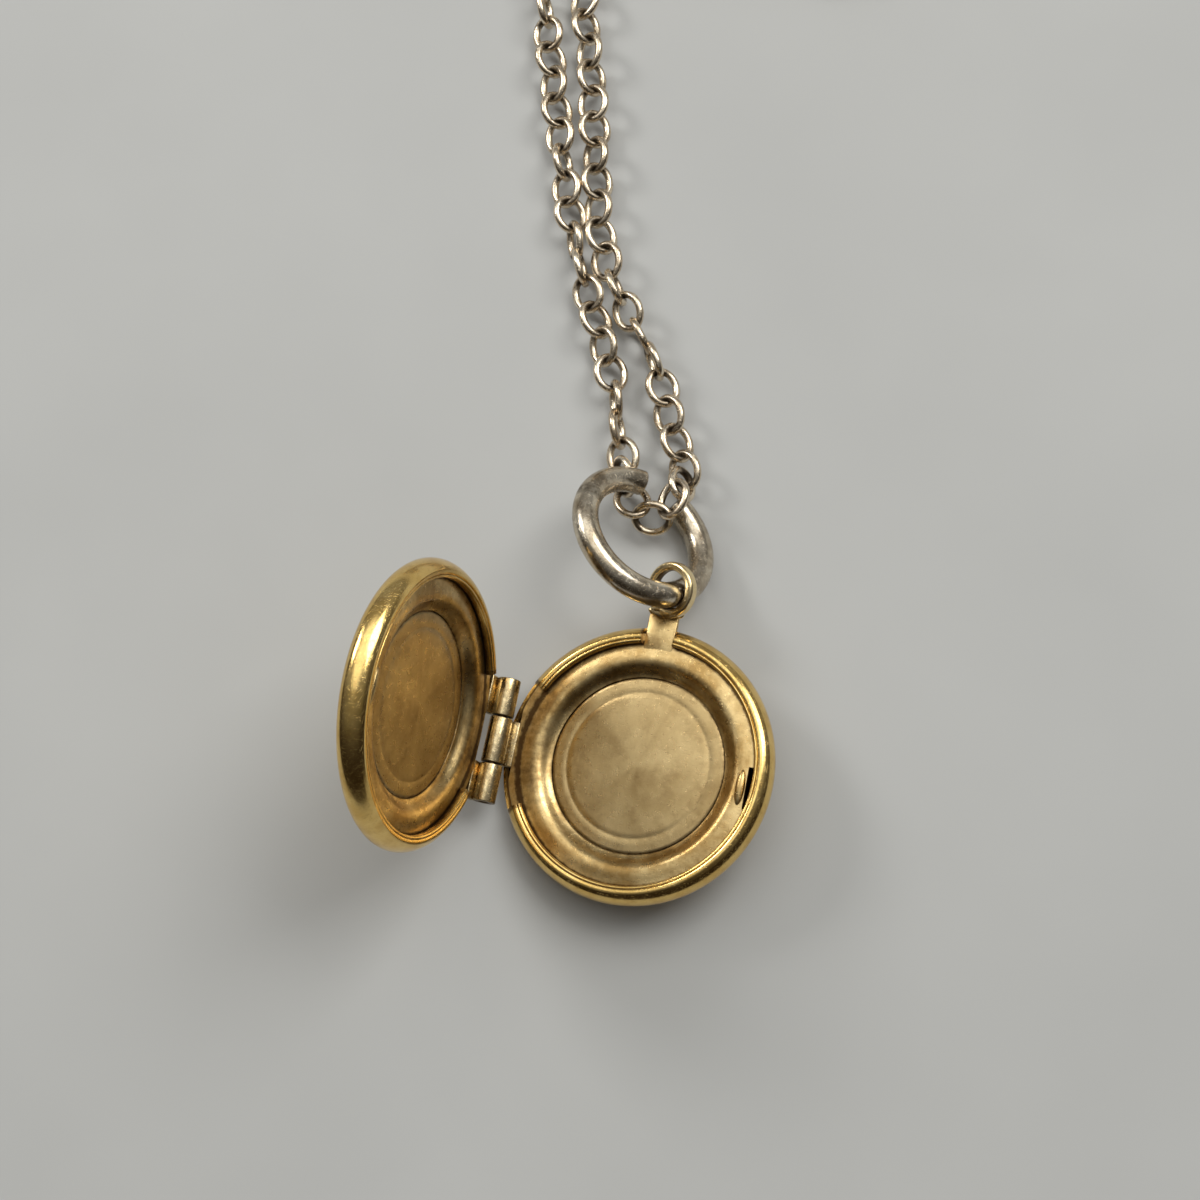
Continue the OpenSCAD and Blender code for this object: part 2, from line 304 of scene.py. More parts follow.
def arc(x: float, z: float, radius: float, start: float, end: float, count: int) -> Profile:
    """Points along part of a circle, angles in degrees, both ends included."""
    turn = [math.radians(start + (end - start) * i / count) for i in range(count + 1)]
    return [(x + radius * math.cos(a), z + radius * math.sin(a)) for a in turn]


def spun(profile: Profile, steps: int, sweep: float = 360.0, shut: bool = False) -> bmesh.types.BMesh:
    """Turns a section round the Z axis.

    Args:
        profile: Points as radius and height, in millimetres.
        steps: Number of steps round the sweep.
        sweep: Degrees turned through.
        shut: True if the section's last point joins its first.

    Returns:
        A mesh in millimetres, its doubles merged and its faces outwards.
    """
    bm = bmesh.new()
    verts = [bm.verts.new((r, 0.0, z)) for r, z in profile]
    edges = [bm.edges.new(pair) for pair in zip(verts, verts[1:])]
    if shut:
        edges.append(bm.edges.new((verts[-1], verts[0])))
    full = abs(sweep - 360.0) < 1e-6
    bmesh.ops.spin(
        bm, geom=verts + edges, cent=(0, 0, 0), axis=(0, 0, 1), dvec=(0, 0, 0),
        angle=math.radians(sweep), steps=steps, use_merge=full, use_duplicate=False,
    )
    bmesh.ops.remove_doubles(bm, verts=bm.verts, dist=1e-5)
    if not full:
        bmesh.ops.holes_fill(bm, edges=[e for e in bm.edges if e.is_boundary], sides=0)
    bmesh.ops.recalc_face_normals(bm, faces=bm.faces)
    return bm


def merged(target: bmesh.types.BMesh, part: bmesh.types.BMesh, place: Matrix | None = None) -> None:
    """Adds one mesh to another, moved to its place, and frees the part."""
    if place is not None:
        bmesh.ops.transform(part, matrix=place, verts=part.verts)
    scratch = mesh_of("scratch", part)
    target.from_mesh(scratch)
    bpy.data.meshes.remove(scratch)


def block(size: Vector, middle: Vector) -> bmesh.types.BMesh:
    """A rectangular block, in millimetres."""
    bm = bmesh.new()
    bmesh.ops.create_cube(bm, size=1.0)
    bmesh.ops.scale(bm, vec=size, verts=bm.verts)
    bmesh.ops.translate(bm, vec=middle, verts=bm.verts)
    return bm


def blob(size: tuple[float, float, float]) -> bmesh.types.BMesh:
    """A ball stretched to three radii, in millimetres."""
    bm = bmesh.new()
    bmesh.ops.create_uvsphere(bm, u_segments=24, v_segments=16, radius=1.0)
    bmesh.ops.scale(bm, vec=size, verts=bm.verts)
    return bm


def facing(way: Vector) -> Matrix:
    """The turn that points X along a direction and keeps Y level."""
    side = Vector((0, 0, 1)).cross(way).normalized()
    return Matrix((way, side, way.cross(side))).transposed().to_4x4()


def soft_block(size: Vector, middle: Vector, edge: float, segments: int = 3) -> bmesh.types.BMesh:
    """A rectangular block with rounded edges, in millimetres."""
    bm = block(size, middle)
    bmesh.ops.bevel(
        bm, geom=bm.edges[:], offset=edge, segments=segments, affect="EDGES",
        profile=0.5, material=-1,
    )
    return bm


# Gives the dirt and painted shade at a point of a piece.
GrimeAndShade = Callable[[Vector], float]


@dataclass
class Maker:
    """Turns finished meshes into pieces that ride, replace and are dressed."""

    sharp_angle: float = math.radians(38)

    def piece(
        self,
        name: str,
        bm: bmesh.types.BMesh,
        skin: Skin,
        body: Body,
        nodes: tuple[str, ...] = (),
        place: Matrix | None = None,
        grime_and_shade: GrimeAndShade | list[float] | None = None,
    ) -> bpy.types.Object:
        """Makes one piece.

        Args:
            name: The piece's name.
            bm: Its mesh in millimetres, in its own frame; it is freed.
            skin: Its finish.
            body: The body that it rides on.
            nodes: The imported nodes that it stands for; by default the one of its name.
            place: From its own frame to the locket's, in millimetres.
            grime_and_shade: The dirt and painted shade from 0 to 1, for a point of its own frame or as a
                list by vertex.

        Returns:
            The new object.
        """
        for edge in bm.edges:
            edge.smooth = edge.calc_face_angle(0.0) < self.sharp_angle
        for face in bm.faces:
            face.smooth = True
        own = [Vector(v.co) for v in bm.verts]
        place = place or Matrix.Identity(4)
        bmesh.ops.transform(bm, matrix=Matrix.Scale(MM, 4) @ place, verts=bm.verts)
        if place.determinant() < 0:
            bmesh.ops.reverse_faces(bm, faces=bm.faces)
        mesh = mesh_of(name, bm)
        dirt_and_shade = grime_and_shade if isinstance(grime_and_shade, list) else [grime_and_shade(p) if grime_and_shade else 0.0 for p in own]
        self.mark(mesh, own, dirt_and_shade)
        mesh.materials.append(skin.material)
        obj = placed(name, mesh)
        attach(obj, body.value)
        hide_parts(*(nodes or (name,)))
        LOG.info("%s: %d faces on %s", name, len(mesh.polygons), body.value)
        return obj

    def mark(self, mesh: bpy.types.Mesh, own: list[Vector], dirt_and_shade: list[float]) -> None:
        """Writes the two attributes that the finishes read: place in millimetres, and dirt with painted
        shade.
        """
        mesh.attributes.new("own", "FLOAT_VECTOR", "POINT")
        mesh.attributes.new("grime_and_shade", "FLOAT", "POINT")
        mesh.attributes["own"].data.foreach_set("vector", [c for p in own for c in p])
        mesh.attributes["grime_and_shade"].data.foreach_set("value", dirt_and_shade)

    def dress(self, node: str, skin: Skin) -> None:
        """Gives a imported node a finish, with its own coordinates in millimetres."""
        obj = bpy.data.objects[node]
        obj.data.materials.clear()
        obj.data.materials.append(skin.material)
        own = [v.co / MM for v in obj.data.vertices]
        self.mark(obj.data, own, [0.0] * len(own))
        LOG.info("%s: packed node, dressed", node)


# ---------------------------------------------------------------- camera and studio


@dataclass(frozen=True)
class Viewpoint:
    """The camera, nearly overhead and leaning in from the catch side."""

    place: tuple[float, float, float] = (12.68, -17.67, 119.85)
    right: tuple[float, float, float] = (0.9755, 0.1991, -0.0937)
    ahead: tuple[float, float, float] = (-0.1385, 0.2246, -0.9646)
    lens: float = 57.0
    sensor: float = 36.0

    def make(self) -> None:
        """Makes the camera and puts it in charge."""
        data = bpy.data.cameras.new("camera")
        data.lens = self.lens
        data.sensor_width = self.sensor
        data.clip_start = 0.005
        data.clip_end = 10.0
        camera = placed("camera", data)
        ahead = Vector(self.ahead).normalized()
        right = Vector(self.right)
        right = (right - ahead * right.dot(ahead)).normalized()
        up = right.cross(ahead)
        turn = Matrix((right, up, -ahead)).transposed().to_4x4()
        camera.matrix_world = Matrix.Translation(Vector(self.place) * MM) @ turn
        bpy.context.scene.camera = camera


@dataclass(frozen=True)
class Lamp:
    """One square area light that faces the locket; its place and side are in metres."""

    name: str
    place: tuple[float, float, float]
    size: float
    power: float
    tint: Colour

    def make(self) -> None:
        """Makes the light."""
        data = bpy.data.lights.new(self.name, "AREA")
        data.size = self.size
        data.energy = self.power
        data.color = self.tint
        lamp = placed(self.name, data)
        lamp.location = self.place
        lamp.rotation_euler = (-Vector(self.place)).to_track_quat("-Z", "Y").to_euler()


@dataclass(frozen=True)
class Studio:
    """A pale floor, soft lights and a sky that darkens towards the near side."""

    floor_colour: Colour = (0.525, 0.53, 0.52)
    floor_shade: float = 0.94
    floor_half: float = 6.0
    dim_sky: Colour = (0.03, 0.024, 0.018)
    glow: Colour = (0.30, 0.30, 0.295)
    glow_way: tuple[float, float, float] = (-0.1, 0.6, 0.79)
    glow_reach: tuple[float, float] = (-0.1, 1.0)
    patch: Colour = (1.25, 1.24, 1.19)
    patch_way: tuple[float, float, float] = (-0.12, 0.37, 0.92)
    patch_reach: tuple[float, float] = (0.83, 0.965)
    lamps: tuple[Lamp, ...] = (
        Lamp("key", (0.20, 0.25, 0.36), 0.26, 1.05, (1.0, 0.99, 0.96)),
        Lamp("side", (-0.28, 0.14, 0.20), 0.10, 0.42, (1.0, 0.99, 0.97)),
    )

    def make(self) -> None:
        """Makes the floor, the lights and the sky."""
        bpy.context.scene.view_settings.view_transform = "Standard"
        self.floor()
        self.sky()
        for lamp in self.lamps:
            lamp.make()

    def sky(self) -> None:
        """Makes the sky: dim in front, a broad glow behind and a bright patch overhead."""
        graph = Graph(bpy.data.worlds.new("sky"), "Background")
        glow = self.toward(graph, self.glow_way, self.glow_reach, self.dim_sky, self.glow)
        black = (0.0, 0.0, 0.0)
        patch = self.toward(graph, self.patch_way, self.patch_reach, black, self.patch)
        total = graph.add("ShaderNodeVectorMath", {0: glow, 1: patch}, operation="ADD")
        graph.feed(graph.shader, "Color", total.outputs[0])
        bpy.context.scene.world = graph.owner

    def toward(
        self, graph: Graph, way: Colour, reach: tuple[float, float], far: Colour, near: Colour
    ) -> object:
        """Shades the sky by how nearly it lies in one direction.

        Args:
            graph: The world's nodes.
            way: The direction of the full tone.
            reach: Cosines between which the tone rises.
            far: The tone away from it.
            near: The tone in that direction.

        Returns:
            The colour socket.
        """
        where = graph.add("ShaderNodeTexCoord").outputs["Generated"]
        share = graph.add("ShaderNodeVectorMath", {0: where, 1: way}, operation="DOT_PRODUCT")
        ramp = graph.add(
            "ShaderNodeMapRange",
            {"Value": share.outputs["Value"], "From Min": reach[0], "From Max": reach[1]},
            interpolation_type="SMOOTHSTEP",
        )
        return graph.blend(ramp.outputs["Result"], far, near)

    def floor(self) -> None:
        """Makes the surface that the locket lies on."""
        graph = Graph(bpy.data.materials.new("pale_floor"), "Principled BSDF")
        where = graph.add("ShaderNodeTexCoord").outputs["Object"]
        tone = graph.ramp(graph.noise(where, 40.0, 3.0), 0.3, 0.7)
        shade = tuple(self.floor_shade * channel for channel in self.floor_colour)
        graph.feed(graph.shader, "Base Color", graph.blend(tone, self.floor_colour, shade))
        graph.feed(graph.shader, "Roughness", 0.85)
        bm = bmesh.new()
        bmesh.ops.create_grid(bm, x_segments=2, y_segments=2, size=self.floor_half)
        bmesh.ops.translate(bm, vec=(0, 0, FLOOR_Z * MM), verts=bm.verts)
        mesh = mesh_of("floor", bm)
        mesh.materials.append(graph.owner)
        placed("floor", mesh)


# ---------------------------------------------------------------- chain


@dataclass(frozen=True)
class Link:
    """An oval link of round wire, its length along X, in millimetres."""

    length: float = 2.98
    width: float = 2.5
    wire: float = 0.52
    # Where and how darkly shade is painted inside the link's ends, where the next links pass through.
    crevice_from: float = 0.55
    crevice_over: float = 0.45
    crevice_in: tuple[float, float] = (0.1, 0.25)
    crevice_shade: float = 0.95
    base_dirt: float = 0.04

    def mesh(self, along: int, around: int) -> bmesh.types.BMesh:
        """Makes the link.

        Args:
            along: Corners round the oval, a multiple of four.
            around: Corners round the wire.

        Returns:
            A closed mesh in millimetres.
        """
        bend = (self.width - self.wire) / 2
        run = (self.length - self.width) / 2
        bm = bmesh.new()
        section = bmesh.ops.create_circle(bm, segments=around, radius=self.wire / 2)["verts"]
        bmesh.ops.rotate(bm, matrix=Matrix.Rotation(math.pi / 2, 3, "X"), verts=section)
        bmesh.ops.translate(bm, vec=(bend, 0, 0), verts=section)
        bmesh.ops.spin(
            bm, geom=section + bm.edges[:], cent=(0, 0, 0), axis=(0, 0, 1), dvec=(0, 0, 0),
            angle=2 * math.pi, steps=along, use_merge=True, use_duplicate=False,
        )
        bmesh.ops.remove_doubles(bm, verts=bm.verts, dist=1e-5)
        for vert in bm.verts:
            vert.co.x += run * vert.co.x / vert.co.xy.length
        bmesh.ops.recalc_face_normals(bm, faces=bm.faces)
        return bm

    def dirt_and_shade(self, point: Vector) -> float:
        """Painted shade at a point of the link, inside its two ends where the next links pass through, over
        a little dirt all over.
        """
        start, reach = self.crevice_in
        end = max(0.0, min((abs(point.x) - self.crevice_from) / self.crevice_over, 1.0))
        inner = self.width / 2 - math.hypot(abs(point.x) - (self.length - self.width) / 2, point.y)
        return self.crevice_shade * end * max(0.0, min((inner - start) / reach, 1.0)) + self.base_dirt


def smooth_line(points: list[Vector], step: float) -> list[Vector]:
    """Rounds a route off and walks along it.

    Args:
        points: The route's points, in millimetres.
        step: Distance between the points that come back.

    Returns:
        Points a step apart, with the route's first point.
    """
    fine: list[Vector] = []
    for i in range(len(points) - 1):
        a, b = points[i], points[i + 1]
        before = points[max(i - 1, 0)]
        after = points[min(i + 2, len(points) - 1)]
        fine += interpolate_bezier(a, a + (b - before) / 6, b - (after - a) / 6, b, 12)[:-1]
    fine.append(points[-1])
    walked = [fine[0]]
    left = step
    for a, b in zip(fine, fine[1:]):
        gap = (b - a).length
        while gap >= left:
            a = a + (b - a) * (left / gap)
            gap = (b - a).length
            walked.append(a)
            left = step
        left -= gap
    return walked


def line_length(points: list[Vector]) -> float:
    """Length of a line through points."""
    return sum((b - a).length for a, b in zip(points, points[1:]))


@dataclass(frozen=True)
class Strand:
    """What one strand is made from; its route is in millimetres."""

    name: str
    route: list[Vector]
    seed: int
    nodes: tuple[str, ...]
    ends: list[str]


@dataclass
class Chain:
    """The doubled trace chain: two strands, the turn through the ring and the stored coil."""

    skin: Skin
    maker: Maker
    link: Link = Link()
    pitch: float = 2.04
    diameter: float = 2.4
    # An even darkening added to every link of the turn through the ring.
    floor_row: float = -1.5
    turn_darkening: float = 0.08
    coil_middle: tuple[float, float] = (-12.0, 75.0)
    coil_row: float = 13.2
    coil_step: float = 2.4
    coil_from: float = 201.5
    coil_turns: float = 3.518
    layer: float = 2.2
    step_in: tuple[float, float] = (0.75, 1.0)
    climb: tuple[float, float] = (1.7, 2.0)
    step_out: tuple[float, float] = (2.75, 3.0)
    coil_corners: int = 36
    fine_links: int = 24
    fine_shape: tuple[int, int] = (28, 10)
    plain_shape: tuple[int, int] = (12, 6)
    turn_shape: tuple[int, int] = (32, 12)
    steep_share: float = 0.16
    steep_lean: tuple[float, float] = (66, 84)
    usual_lean: tuple[float, float] = (22, 44)
    yaw: float = 9
    slack: float = 1e-4

    def route(self, points: list[tuple[float, float]]) -> list[Vector]:
        """A strand's route along the surface, at the height where its links touch it."""
        return [Vector((x, y, self.floor_row)) for x, y in points]

    def left_route(self) -> list[Vector]:
        """From the ring, along the surface and out to the coil."""
        return self.route([
            (-5.2, 20.6), (-6, 22.6), (-6.6, 24.9), (-7.6, 27.2), (-9, 30), (-10.2, 32.4),
            (-11.4, 35), (-13, 39.3), (-14.4, 43.5), (-15.7, 47.5), (-17, 51.6), (-18, 54.6),
            (-19.5, 58.3), (-21.1, 62.3), (-22.7, 66.3), (-24.3, 70.2),
        ])

    def right_route(self) -> list[Vector]:
        """From the ring, along the surface and out to the end ring."""
        return self.route([
            (-0.9, 20.4), (-1.7, 22), (-2.6, 23.8), (-3.4, 25.7), (-4.4, 27.6), (-5.7, 29.4),
            (-7.1, 31.2), (-8.6, 33.4), (-10, 36.5), (-11.2, 41), (-12.2, 45), (-13.4, 49.5),
            (-14.5, 53), (-14.7, 55.2), (-14, 57), (-12.5, 58.4), (-10.1, 59), (-7.4, 59.3),
            (-4.6, 59.9), (-1.6, 60.7),
        ])

    def tail_route(self) -> list[Vector]:
        """From the coil's upper row, down to the clasp."""
        drop = [(1.4, 76, 0.7), (2.1, 73.6, 0.5), (3, 71.3, -0.4), (4.2, 69.1, -1.3)]
        end = self.route([(5.7, 67.1), (7.2, 65.3), (7.9, 63.8), (8.1, 62.95)])
        return [Vector(p) for p in drop] + end

    def coil_route(self) -> list[Vector]:
        """Turns of the stored length: two rows inwards, then two outwards on top."""

        def eased(turn: float, start: float, end: float) -> float:
            """A smooth step from 0 to 1 over a stretch of turns."""
            t = min(max((turn - start) / (end - start), 0.0), 1.0)
            return t * t * (3 - 2 * t)

        points = []
        count = round(self.coil_turns * self.coil_corners)
        for i in range(1, count):
            turn = self.coil_turns * i / count
            inwards = eased(turn, *self.step_in) - eased(turn, *self.step_out)
            radius = self.coil_row - self.coil_step * inwards
            height = self.floor_row + self.layer * eased(turn, *self.climb)
            angle = math.radians(self.coil_from) - 2 * math.pi * turn
            points.append(Vector((
                self.coil_middle[0] + radius * math.cos(angle),
                self.coil_middle[1] + radius * math.sin(angle),
                height,
            )))
        return points

    def links(self, line: list[Vector], seed: int) -> tuple[bmesh.types.BMesh, list[float]]:
        """Threads links along a line.

        Args:
            line: Points a pitch apart.
            seed: Seed of the links' small turns.

        Returns:
            All the links in one mesh, and the dirt and painted shade at each vertex.
        """
        draw = random.Random(seed)
        shapes = [mesh_of("link", self.link.mesh(*s)) for s in (self.fine_shape, self.plain_shape)]
        strand = bmesh.new()
        dirt_and_shade: list[float] = []
        for i, point in enumerate(line):
            ahead = (line[min(i + 1, len(line) - 1)] - line[max(i - 1, 0)]).normalized()
            steep = draw.random() < self.steep_share
            lean = draw.uniform(*(self.steep_lean if steep else self.usual_lean))
            lean *= 1 if i % 2 else -1
            yaw = draw.uniform(-self.yaw, self.yaw)
            place = (
                Matrix.Translation(point)
                @ facing(ahead)
                @ Matrix.Rotation(math.radians(lean), 4, "X")
                @ Matrix.Rotation(math.radians(yaw), 4, "Z")
            )
            start = len(strand.verts)
            shape = shapes[0] if i < self.fine_links else shapes[1]
            dirt_and_shade += [self.link.dirt_and_shade(v.co) for v in shape.vertices]
            strand.from_mesh(shape)
            strand.verts.ensure_lookup_table()
            bmesh.ops.transform(strand, matrix=place, verts=strand.verts[start:])
        for mesh in shapes:
            bpy.data.meshes.remove(mesh)
        return strand, dirt_and_shade

    def cord(self, strand: Strand) -> None:
        length = line_length(smooth_line(strand.route, self.pitch / 8))
        line = smooth_line(strand.route, length / round(length / self.pitch) - self.slack)
        links, dirt_and_shade = self.links(line, strand.seed)
        piece = self.maker.piece(
            strand.name, links, self.skin, Body.CHAIN, strand.nodes, grime_and_shade=dirt_and_shade
        )
        line_length(line) * MM
        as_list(strand.ends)

    def bight(self) -> None:
        """Makes the links that turn through the jump ring."""
        stations = [
            ((-4.85, 19.25, -1.45), (0.5, -1.0, -0.1), 62),
            ((-3.95, 17.6, -1.35), (0.75, -0.8, 0.35), -10),
            ((-2.35, 16.55, -0.9), (1.0, 0.15, 0.3), 35),
            ((-1.15, 17.9, -0.25), (0.2, 1.0, 0.1), -35),
            ((-0.85, 19.2, -0.9), (0.05, 1.0, -0.75), 45),
        ]
        turn = bmesh.new()
        dirt_and_shade: list[float] = []
        for place, ahead, roll in stations:
            shape = self.link.mesh(*self.turn_shape)
            # Each link of the turn gets the painted crevice shade, with the even darkening on top.
            dirt_and_shade += [self.link.dirt_and_shade(v.co) + self.turn_darkening for v in shape.verts]
            stand = Matrix.Translation(place) @ facing(Vector(ahead).normalized())
            merged(turn, shape, stand @ Matrix.Rotation(math.radians(roll), 4, "X"))
        nodes = ("chain_bight",)
        self.maker.piece("chain_turn", turn, self.skin, Body.CHAIN, nodes, grime_and_shade=dirt_and_shade)

    def make(self) -> None:
        """Makes the whole chain."""
        self.bight()
        self.cord(Strand(
            "chain_left_strand", self.left_route() + self.coil_route() + self.tail_route(),
            7, ("chain_left", "chain_coil", "chain_tail"),
            ["clasp_link", "clasp_body", "clasp_bolt", "clasp_spring"],
        ))
        self.cord(Strand(
            "chain_right_strand", self.right_route(), 11, ("chain_right",), ["end_ring"]
        ))


# ---------------------------------------------------------------- locket halves


@dataclass
class Half:
    """One half of the case: shell, inner plate and picture disc, in millimetres."""

    body: Body
    place: Matrix
    finishes: Finishes
    maker: Maker
    case_r: float = 9.0
    depth: float = 3.4
    lip_w: float = 1.15
    lip_h: float = 0.55
    lip_round: float = 1.2
    edge_round: float = 0.8
    sheet: float = 0.35
    seat_depth: float = 0.6
    seat_r: float = 5.7
    mouth_r: float = 6.4
    disc_t: float = 0.18
    hinge_cut: float = 28.5
    steps: int = 240
    catch_y: float = -0.5
    slot_size: tuple[float, float] = (0.42, 2.7)
    slot_in: float = 0.23
    bead_size: tuple[float, float, float] = (0.31, 1.15, 0.27)
    bead_in: float = 0.77
    mark_r: float = 4.74

    @property
    def lip_z(self) -> float:
        """Height of the lip's top above the picture disc."""
        return self.seat_depth + self.lip_h

    @property
    def cut_z(self) -> float:
        """Height down to which the lip is cut away."""
        return self.seat_depth - self.sheet - 0.02

    def dome(self, inset: float) -> tuple[float, float, float]:
        """Radius of the dome, height of its centre and angle where it meets the edge."""
        drop = self.depth - 1.05
        edge, turn = self.case_r - self.edge_round, self.edge_round
        radius = (edge**2 + drop**2 - turn**2) / (2 * (drop - turn))
        middle = self.lip_z - self.depth + radius
        meet = math.degrees(math.asin(edge / (radius - turn)))
        return radius - inset, middle, meet

    def shell_section(self) -> Profile:
        """Section of the shell, from the outer crown round to the inner crown."""
        edge_r, edge_z = self.case_r - self.edge_round, self.lip_z - 1.05
        top, lip_in = self.lip_z, self.case_r - self.lip_w
        outer, centre, meet = self.dome(0.0)
        inner = outer - self.sheet
        wall = self.edge_round - self.sheet
        side = math.degrees(math.asin((self.cut_z - edge_z) / self.lip_round))
        points = arc(0, centre, outer, -90, -90 + meet, 28)
        points += arc(edge_r, edge_z, self.edge_round, -90 + meet, 0, 12)[1:]
        points += arc(self.case_r - self.lip_round, edge_z, self.lip_round, side, 51, 12)
        points += [(8.49, top - 0.085), (8.43, top - 0.035), (8.35, top - 0.005), (8.26, top)]
        points += [(8.12, top - 0.015), (8.085, top - 0.04), (8.06, top - 0.085)]
        points += [(8.035, top - 0.04), (8.0, top - 0.03), (7.93, top - 0.04), (7.88, top - 0.08)]
        points += [(lip_in, top - 0.15), (lip_in, self.seat_depth + 0.06)]
        points += [(lip_in + 0.06, self.seat_depth)]
        points += [(edge_r + wall, self.seat_depth), (edge_r + wall, self.cut_z)]
        points += arc(edge_r, edge_z, wall, 0, -90 + meet, 8)
        points += arc(0, centre, inner, -90 + meet, -90, 20)[1:]
        return points

    def cut_lip(self, bm: bmesh.types.BMesh, middle: float, spread: float) -> None:
        """Cuts the lip away over a stretch and closes the cut.

        Args:
            bm: The shell's mesh.
            middle: Bearing of the middle of the stretch, in degrees.
            spread: Half of the stretch, in degrees.
        """

        def inside(face: bmesh.types.BMFace) -> bool:
            """True for a face of the lip within the stretch."""
            spot = face.calc_center_median()
            bearing = math.degrees(math.atan2(spot.y, spot.x))
            away = abs((bearing - middle + 180) % 360 - 180)
            return away < spread and spot.z > self.cut_z

        doomed = [f for f in bm.faces if inside(f)]
        rim = {e for f in doomed for e in f.edges}
        bmesh.ops.delete(bm, geom=doomed, context="FACES")
        rim = [e for e in rim if e.is_valid and e.is_boundary]
        level = [e for e in rim if all(abs(v.co.z - self.cut_z) < 1e-4 for v in e.verts)]
        bmesh.ops.bridge_loops(bm, edges=level)
        ends = [e for e in bm.edges if e.is_boundary]
        bmesh.ops.holes_fill(bm, edges=ends, sides=0)
        bmesh.ops.recalc_face_normals(bm, faces=bm.faces)

    def shell(self, name: str, cuts: list[tuple[float, float]]) -> None:
        """Makes the shell with its lip cut away at the given bearings."""
        bm = spun(self.shell_section(), self.steps)
        for middle, spread in cuts:
            self.cut_lip(bm, middle, spread)
        edge = self.case_r - self.lip_w
        outer, centre, _ = self.dome(0.0)
        ends = [middle + side * spread for middle, spread in cuts for side in (-1, 1)]

        def grime_and_shade(p: Vector) -> float:
            """Painted shade in the hollow, in the fold and in the groove under the lip, and darker at the
            lip's cut ends.
            """
            r = p.xy.length
            if p.z > self.seat_depth - 0.01:
                bearing = math.degrees(math.atan2(p.y, p.x))
                # Darker along the lip's cut ends.
                if min(abs((bearing - end + 180) % 360 - 180) for end in ends) < 1.6:
                    return 0.75
                # Painted shade in the fold of the lip's top and down the lip's inner wall into the groove.
                fold = 0.8 if abs(r - 8.06) < 0.01 else 0.0
                deep = (self.lip_z - 0.1 - p.z) / self.lip_h
                return max(fold, min(max(deep, 0.0), 1.0) * 1.3 if r < edge + 0.08 else 0.0)
            # Painted shade over the inside of the hollow shell.
            hollow = math.hypot(r, p.z - centre) < outer - 0.2 and r < self.case_r - 0.3
            return 1.3 if hollow else 0.0

        self.maker.piece(name, bm, self.finishes.polished, self.body, (), self.place, grime_and_shade)

    def plate_section(self) -> Profile:
        """Section of the plate: flat ring, raised edge, sloping recess and ledge."""
        top, t, rim = self.seat_depth, self.sheet, self.case_r - 0.42
        foot, ledge, mouth = self.seat_r + 0.05, self.seat_r - 0.5, self.mouth_r
        swell = [
            (rim, -0.06), (rim - 0.05, -0.015), (rim - 0.38, -0.005), (rim - 0.7, -0.02),
            (rim - 0.95, 0.0), (rim - 1.2, 0.03), (rim - 1.45, 0.058), (rim - 1.65, 0.065),
            (mouth + 0.4, 0.055), (mouth + 0.26, 0.03), (mouth + 0.14, -0.015),
            (mouth + 0.03, -0.08), (mouth - 0.08, -0.17), (mouth - 0.2, -0.29),
            (mouth - 0.32, -0.41), (mouth - 0.44, -0.50), (mouth - 0.55, -0.56),
        ]
        points = [(rim, top - t)] + [(r, top + rise) for r, rise in swell]
        points += [(foot + 0.02, 0.012), (foot, -0.02), (foot, -self.disc_t)]
        points += [(ledge, -self.disc_t), (ledge, -self.disc_t - t), (foot + 0.3, -self.disc_t - t)]
        points += [(mouth + 0.3, top - t)]
        return points

    def plate(
        self,
        name: str,
        blocks: list[tuple[Vector, Vector]],
        extra: bmesh.types.BMesh | None = None,
    ) -> None:
        """Makes the inner plate with its catch and its cut-outs.

        Args:
            name: The piece's name, which is also its node's.
            blocks: Corners of the blocks cut away at the hinge.
            extra: More metal that belongs to the plate, such as the bail's tab.
        """
        edge = self.case_r - self.lip_w
        middle = Vector((edge - self.slot_in, self.catch_y, 0.3))
        half = Vector((self.slot_size[0] / 2, self.slot_size[1] / 2, 0.7))
        blocks = [(middle - half, middle + half), *blocks]
        bm = carved(
            spun(self.plate_section(), self.steps, shut=True),
            [block(high - low, (low + high) / 2) for low, high in blocks],
        )
        stand = (edge - self.bead_in, self.catch_y, self.seat_depth + 0.02)
        merged(bm, blob(self.bead_size), Matrix.Translation(stand))
        if extra:
            merged(bm, extra)

        def grime_and_shade(p: Vector) -> float:
            """Painted shade beside the lip, at the recess's foot, in the slot and towards the hinge side.
            """
            r = p.xy.length
            if p.y > self.case_r - 0.7:
                return 0.1
            # Painted shade: dark in the groove beside the lip, at the recess's foot and in the slot, and
            # darker towards the hinge side.
            joint = 1 - min(abs(r - edge - 0.02) / 0.26, 1.0)
            foot = 1 - min(abs(r - self.seat_r - 0.05) / 0.2, 1.0)
            slot_wall = 1.3 if p.x > edge - 0.5 and p.z < self.seat_depth - 0.1 and r > 7 else 0.0
            hinge_side_shade = 0.42 * max(0.0, min((-4.5 - p.x) / 2.0, 1.0))
            return max(1.2 * joint, 0.6 * foot, slot_wall, hinge_side_shade)

        self.maker.piece(name, bm, self.finishes.satin, self.body, (), self.place, grime_and_shade)

    def disc(self, name: str, crown: float) -> None:
        """Makes the picture disc, with the faint ring that a picture frame has pressed into it."""
        mark, edge = self.mark_r, self.seat_r

        def rise(r: float) -> float:
            """Height of the crowned face at a radius."""
            return crown * (1 - (r / edge) ** 2)

